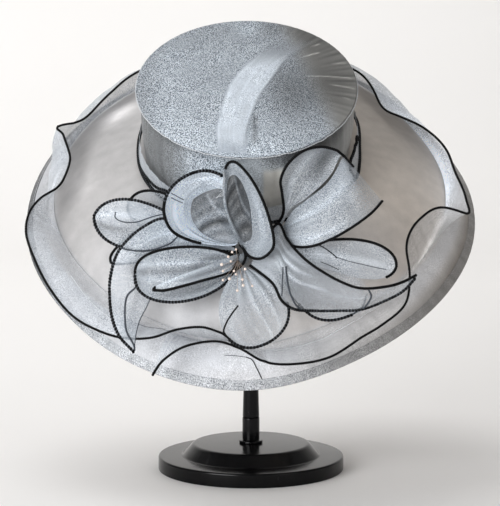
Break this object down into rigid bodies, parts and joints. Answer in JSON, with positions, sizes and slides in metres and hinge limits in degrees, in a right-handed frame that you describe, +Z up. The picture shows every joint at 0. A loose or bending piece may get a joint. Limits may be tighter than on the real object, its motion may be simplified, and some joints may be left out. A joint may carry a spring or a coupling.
{
  "type": "summer hat on stand",
  "caption": "Formal summer hat of stiff see-through cloth with a bell brim, corded ruffle and ribbon flower, on a round display stand.",
  "frame": {"origin": "centre of the underside of the stand's round foot, on the post's axis", "axes": "+Z up, front of the hat and its flower toward -Y, +X to the hat's right side as seen from the front"},
  "size_m": [0.3813, 0.3518, 0.3754],
  "materials": {
    "black_plastic": "glossy moulded black plastic",
    "crown_cloth": "silver-grey organza, fine and sparkling, half see-through",
    "petal_cloth": "bluish silver organza with a fine sparkle",
    "brim_cloth": "smooth warm grey organza, half see-through",
    "hem_cloth": "folded grey organza, doubled and darker",
    "ruffle_cloth": "pale bluish organza with a frosted sparkle",
    "edge_cord": "black overlocked cord with pale flecks"
  },
  "bodies": {
    "root": {"stand_foot": "black_plastic", "stand_flange": "black_plastic", "stand_sleeve": "black_plastic", "stand_post": "black_plastic", "stand_cap": "black_plastic", "crown_side": "crown_cloth", "crown_tip": "crown_cloth", "crown_tip_fold": "crown_cloth", "crown_sash": "petal_cloth", "flower_core": "petal_cloth", "petal_left_loop": "petal_cloth", "petal_left_back": "petal_cloth", "petal_left_rear": "petal_cloth", "petal_left_front": "petal_cloth", "petal_right_back": "petal_cloth", "petal_right_under": "petal_cloth", "petal_bottom": "petal_cloth", "leaf_left_long": "petal_cloth", "leaf_left_lip": "petal_cloth", "leaf_upper_wall": "petal_cloth", "leaf_upper_lip": "petal_cloth", "leaf_right_long": "petal_cloth", "loop_round": "petal_cloth", "loop_upright": "petal_cloth", "brim": "brim_cloth", "brim_hem": "hem_cloth", "ruffle": "ruffle_cloth", "ruffle_cord": "edge_cord"}
  },
  "joints": []
}
